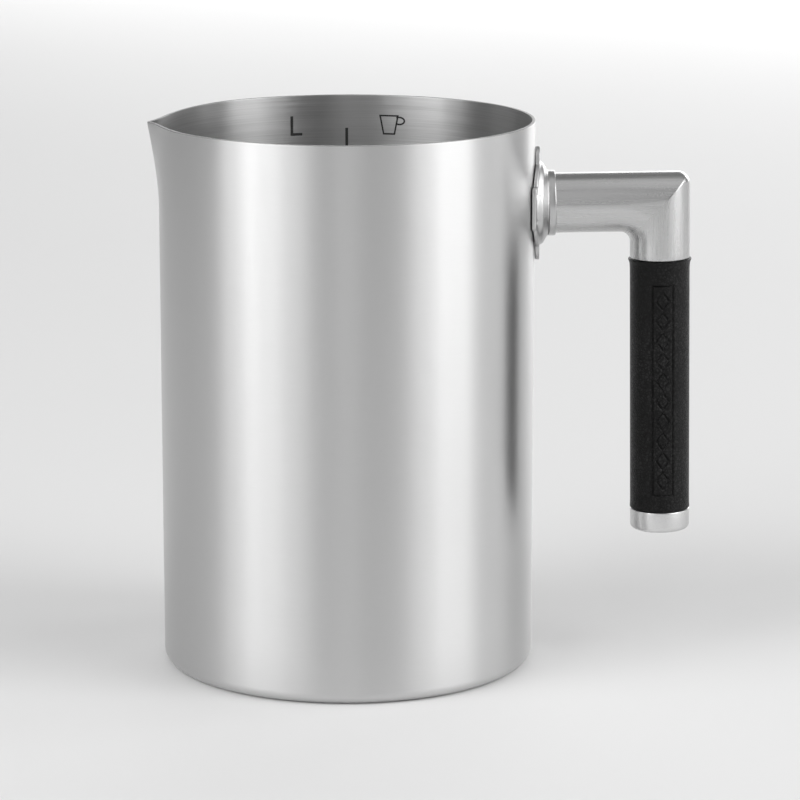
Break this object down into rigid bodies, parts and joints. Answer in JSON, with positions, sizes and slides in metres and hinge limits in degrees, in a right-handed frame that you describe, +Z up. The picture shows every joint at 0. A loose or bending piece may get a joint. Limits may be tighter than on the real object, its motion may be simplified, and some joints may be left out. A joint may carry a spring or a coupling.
{
  "type": "measuring pitcher",
  "caption": "Straight-walled steel pitcher with a pulled pouring spout and a side handle, square at the elbow and sleeved in leather.",
  "frame": {"origin": "centre of the flat base, on the surface that the pitcher stands on", "axes": "+Z up along the vessel's axis, +X towards the handle, -X towards the spout"},
  "size_m": [0.16, 0.11, 0.1617],
  "materials": {
    "vessel_steel": "satin, ground in fine upright lines outside and round lines inside",
    "handle_steel": "satin, ground along the tube",
    "cap_steel": "turned and satin polished",
    "inner_steel": "plain turned steel, hidden",
    "screw_steel": "plain stainless screw",
    "grip_leather": "black, fine grain, soft sheen",
    "seam_thread": "waxed black thread",
    "etched_scale": "dark etched marks on the vessel's inside"
  },
  "bodies": {
    "root": {"vessel": "vessel_steel", "saddle_plate": "handle_steel", "arm_spigot": "inner_steel", "collar_ring": "handle_steel", "elbow_arm": "handle_steel", "elbow_insert": "inner_steel", "grip_core": "inner_steel", "leather_sleeve": "grip_leather", "seam_stitching": "seam_thread", "end_cap": "cap_steel", "spring_washer": "screw_steel", "tie_screw": "screw_steel"}
  },
  "joints": []
}
